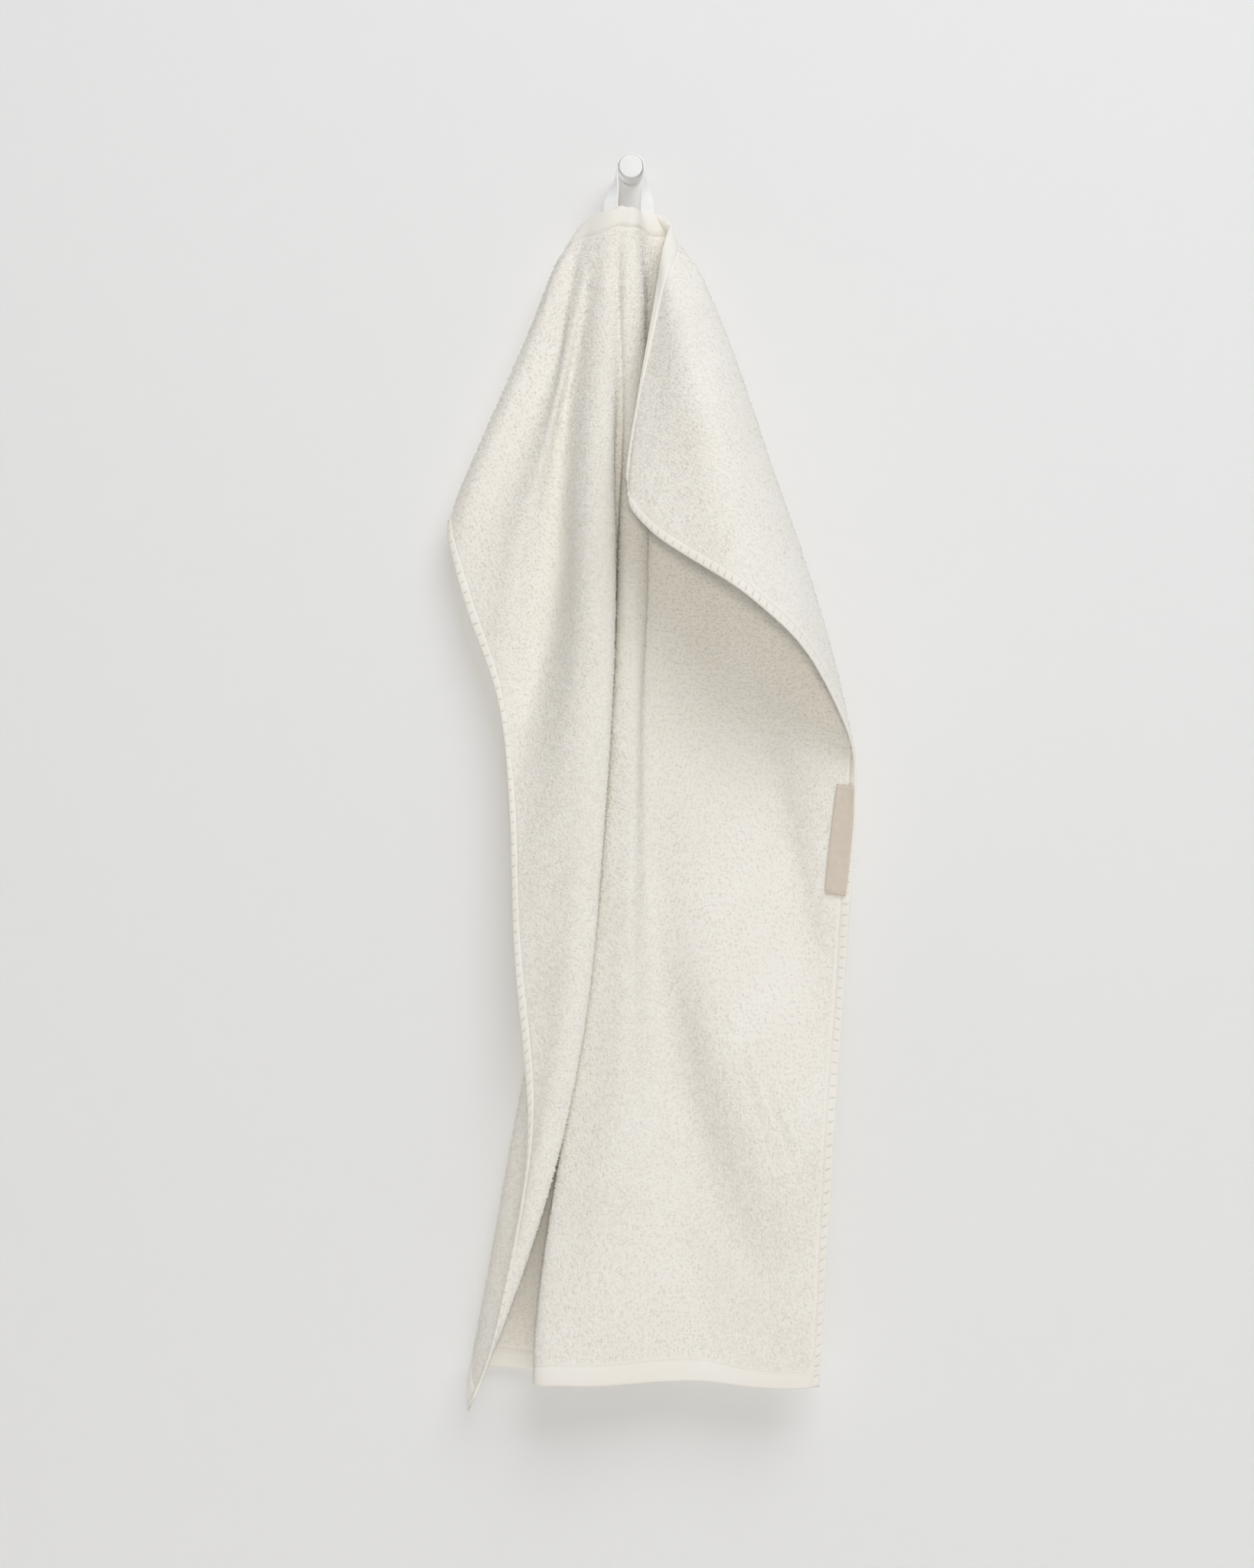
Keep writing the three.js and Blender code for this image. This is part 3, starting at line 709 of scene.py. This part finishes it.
def tinted(tree, main, colors, spread):
    """Base colour that drifts softly over the cloth and follows each loop's own brightness."""
    noise = tree.nodes.new("ShaderNodeTexNoise")
    noise.inputs["Scale"].default_value = spread
    noise.inputs["Detail"].default_value = 3
    ramp = tree.nodes.new("ShaderNodeValToRGB")
    ramp.color_ramp.elements[0].position = 0.3
    ramp.color_ramp.elements[1].position = 0.7
    ramp.color_ramp.elements[0].color = (*colors[0], 1)
    ramp.color_ramp.elements[1].color = (*colors[1], 1)
    tone = tree.nodes.new("ShaderNodeAttribute")
    tone.attribute_name = "shade"
    mix = tree.nodes.new("ShaderNodeMix")
    mix.data_type = "RGBA"
    mix.blend_type = "MULTIPLY"
    mix.inputs["Factor"].default_value = 1
    tree.links.new(cloth_uv(tree), noise.inputs["Vector"])
    tree.links.new(noise.outputs["Fac"], ramp.inputs["Fac"])
    tree.links.new(ramp.outputs["Color"], mix.inputs[6])
    tree.links.new(tone.outputs["Fac"], mix.inputs[7])
    tree.links.new(mix.outputs[2], main.inputs["Base Color"])


def raised(tree, main, height, strength, depth):
    """Bump of a height up to a depth in millimetres."""
    bump = tree.nodes.new("ShaderNodeBump")
    bump.inputs["Strength"].default_value = strength
    bump.inputs["Distance"].default_value = depth * MM
    tree.links.new(height, bump.inputs["Height"])
    tree.links.new(bump.outputs["Normal"], main.inputs["Normal"])


def woven(tree, main, pitch, strength, depth):
    """Raised threads of a weave, crossed along both ways of the cloth."""
    join = tree.nodes.new("ShaderNodeMath")
    join.operation = "MAXIMUM"
    for way, direction in enumerate("XY"):
        wave = tree.nodes.new("ShaderNodeTexWave")
        wave.bands_direction = direction
        wave.inputs["Scale"].default_value = WAVE_BAND / pitch[way] / MM
        wave.inputs["Distortion"].default_value = 0.6
        tree.links.new(cloth_uv(tree), wave.inputs["Vector"])
        tree.links.new(wave.outputs["Fac"], join.inputs[way])
    raised(tree, main, join.outputs["Value"], strength, depth)


def grained(tree, main, size, strength, depth):
    """Fine uneven grain."""
    noise = tree.nodes.new("ShaderNodeTexNoise")
    noise.inputs["Scale"].default_value = 1 / (size * MM)
    noise.inputs["Detail"].default_value = 2
    tree.links.new(cloth_uv(tree), noise.inputs["Vector"])
    raised(tree, main, noise.outputs["Fac"], strength, depth)


def soften(main, weight):
    """The soft bright rim of fibre ends."""
    main.inputs["Sheen Weight"].default_value = weight
    main.inputs["Sheen Roughness"].default_value = 0.6


def ground_material():
    """Woven ground of the terry, bare on the hems."""
    material, tree, main = shader("terry_ground", IVORY[1], roughness=0.95)
    tinted(tree, main, IVORY, spread=16)
    woven(tree, main, pitch=(0.9, 0.9), strength=0.5, depth=0.12)
    soften(main, weight=0.15)
    return material


def pile_material():
    """Cotton loops."""
    material, tree, main = shader("terry_pile", IVORY[1], roughness=0.98)
    tinted(tree, main, IVORY, spread=16)
    grained(tree, main, size=0.7, strength=0.6, depth=0.3)
    soften(main, weight=0.25)
    return material


def thread_material_with_painted_shade():
    """Sewing thread, darker than the cloth: partly its own tone, partly painted shade for the shadow line
    along the hems' seams.
    """
    material, tree, main = shader("sewing_thread_painted_shade", IVORY[1], roughness=0.8)
    # Darker thread tones: partly painted shade, standing for the seams' shadow lines.
    tinted(tree, main, ((0.78, 0.75, 0.69), (0.84, 0.81, 0.75)), spread=90)
    grained(tree, main, size=0.3, strength=0.4, depth=0.1)
    return material


def tape_material():
    """White woven cotton tape."""
    material, tree, main = shader("cotton_tape", (0.88, 0.88, 0.87), roughness=0.85)
    tinted(tree, main, ((0.87, 0.87, 0.855), (0.9, 0.9, 0.89)), spread=120)
    woven(tree, main, pitch=(1.1, 0.8), strength=0.6, depth=0.15)
    soften(main, weight=0.15)
    return material


def label_material():
    """Sand-coloured close weave."""
    material, tree, main = shader("label_weave", (0.66, 0.58, 0.5), roughness=0.7)
    tinted(tree, main, ((0.63, 0.55, 0.465), (0.68, 0.6, 0.515)), spread=160)
    woven(tree, main, pitch=(0.5, 0.7), strength=0.5, depth=0.08)
    return material


def peg_material():
    """Matt white paint with a faint grain."""
    material, tree, main = shader("matt_paint", (0.84, 0.84, 0.83), roughness=0.45)
    tinted(tree, main, ((0.83, 0.83, 0.82), (0.855, 0.855, 0.845)), spread=60)
    grained(tree, main, size=0.9, strength=0.12, depth=0.05)
    return material


def wall_material():
    """Pale paint that shows from the room only."""
    material, tree, main = shader("wall_paint", (0.8, 0.8, 0.8), roughness=0.9)
    facing = tree.nodes.new("ShaderNodeNewGeometry")
    clear = tree.nodes.new("ShaderNodeBsdfTransparent")
    choose = tree.nodes.new("ShaderNodeMixShader")
    tree.links.new(facing.outputs["Backfacing"], choose.inputs["Fac"])
    tree.links.new(main.outputs["BSDF"], choose.inputs[1])
    tree.links.new(clear.outputs["BSDF"], choose.inputs[2])
    tree.links.new(choose.outputs["Shader"], tree.nodes["Material Output"].inputs["Surface"])
    return material


def floor_material():
    """Pale paint."""
    material, _, _ = shader("floor_paint", (0.8, 0.8, 0.79), roughness=0.9)
    return material


def stage_plane(name, corners, material):
    """A flat piece of the stage."""
    mesh = bpy.data.meshes.new(name)
    mesh.from_pydata(corners, [], [(0, 1, 2, 3)])
    mesh.materials.append(material)
    obj = bpy.data.objects.new(name, mesh)
    bpy.context.scene.collection.objects.link(obj)
    return obj


def area_light(name, place, size, energy, color):
    """A square lamp that faces the towel."""
    data = bpy.data.lights.new(name, "AREA")
    data.size = size
    data.energy = energy
    data.color = color
    lamp = bpy.data.objects.new(name, data)
    lamp.location = place
    lamp.rotation_euler = (Vector(LIGHT_TARGET) - Vector(place)).to_track_quat("-Z", "Y").to_euler()
    bpy.context.scene.collection.objects.link(lamp)


# Pieces.
rng = np.random.default_rng(PILE_SEED)
ground = towel_ground(ground_material())
loops, frames = pile_frames(rng)
terry = pile_material()
for side, face in ((1, "front"), (-1, "back")):
    for part, keep in (("left", loops[:, 0] < 0), ("right", loops[:, 0] >= 0)):
        chosen = tuple(values[keep] for values in frames)
        pile(f"pile_{face}_{part}", loops[keep], chosen, side, rng, terry)
# The stitches' thread carries painted shade for the shadow lines along the seams.
cotton = thread_material_with_painted_shade()
seams = thread("hem_stitches", *seam_stitches(), STITCH_RADIUS, ground_half, cotton, "terry")
ties = thread("side_stitches", *cross_stitches(), CROSS_RADIUS, ground_half, cotton, "terry")
tape, tape_length = loop_tape(tape_material())
weave = label_material()
label = label_patch(weave)
label_thread = label_stitches(weave)
hook = peg(peg_material())

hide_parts("towel")
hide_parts("hanging_loop")
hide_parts("label")
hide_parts("hook")

# Wall and floor.
wall_corners = [
    (-WALL_REACH, WALL_BEHIND, FLOOR),
    (WALL_REACH, WALL_BEHIND, FLOOR),
    (WALL_REACH, WALL_BEHIND, WALL_TOP),
    (-WALL_REACH, WALL_BEHIND, WALL_TOP),
]
wall = stage_plane("wall", wall_corners, wall_material())
wall.visible_shadow = False
floor_corners = [
    (-FLOOR_REACH, -FLOOR_REACH, FLOOR),
    (FLOOR_REACH, -FLOOR_REACH, FLOOR),
    (FLOOR_REACH, FLOOR_REACH, FLOOR),
    (-FLOOR_REACH, FLOOR_REACH, FLOOR),
]
stage_plane("floor", floor_corners, floor_material())

# Light: a cool key from the upper right, a warm fill from the camera's side that reaches into the creases.
area_light("key", place=(0.95, -2.3, 2.3), size=2.4, energy=70, color=COOL_LIGHT)
area_light("front_fill", place=(0, -5.5, -0.47), size=0.6, energy=78, color=WARM_LIGHT)
area_light("back_fill", place=(-0.9, 1.9, 0.3), size=1.6, energy=20, color=SOFT_LIGHT)
world = bpy.data.worlds.new("studio")
world.use_nodes = True
background = world.node_tree.nodes["Background"]
background.inputs["Color"].default_value = (*COOL_LIGHT, 1)
background.inputs["Strength"].default_value = WORLD_STRENGTH
bpy.context.scene.world = world
bpy.context.scene.view_settings.view_transform = "Standard"

# Camera, level and square to the wall.
camera_data = bpy.data.cameras.new("camera")
camera_data.sensor_width = CAMERA_SENSOR
camera_data.lens = CAMERA_LENS
camera = bpy.data.objects.new("camera", camera_data)
camera.location = CAMERA_PLACE
camera.rotation_euler = (math.pi / 2, 0, 0)
bpy.context.scene.collection.objects.link(camera)
bpy.context.scene.camera = camera
